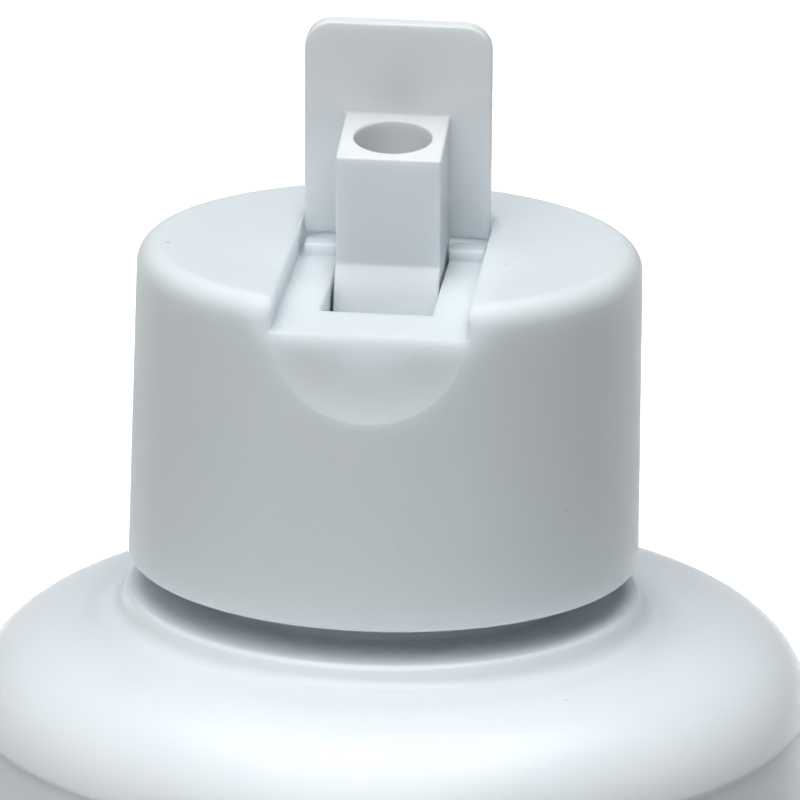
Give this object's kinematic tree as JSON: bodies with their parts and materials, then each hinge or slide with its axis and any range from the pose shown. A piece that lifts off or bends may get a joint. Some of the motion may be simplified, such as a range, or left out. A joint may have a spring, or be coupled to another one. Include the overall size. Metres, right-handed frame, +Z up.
{
  "type": "plastic bottle with turret cap",
  "caption": "White round plastic bottle with a smooth screw cap whose flip-up turret spout stands open.",
  "frame": {"origin": "centre of the bottle's standing base, on the ground", "axes": "+Z up along the bottle's axis, -Y to the front, where the spout folds down"},
  "size_m": [0.0571, 0.057, 0.1585],
  "materials": {
    "bottle_plastic": "satin white polyethylene",
    "cap_plastic": "satin white polypropylene",
    "turret_plastic": "satin white polypropylene"
  },
  "bodies": {
    "bottle": {"bottle": "bottle_plastic"},
    "cap": {"cap": "cap_plastic"},
    "turret": {"turret": "turret_plastic"}
  },
  "joints": [
    {"name": "cap_screw", "type": "hinge", "parent": "bottle", "child": "cap", "pos_m": [-0.00042, 0, 0.1222], "axis": [0.0201, 0, 0.9998], "range_deg": [0, 450]},
    {"name": "turret_pivot", "type": "hinge", "parent": "cap", "child": "turret", "pos_m": [-0.00008, 0.0026, 0.1393], "axis": [0.9998, 0, -0.0201], "range_deg": [-10, 80]}
  ]
}
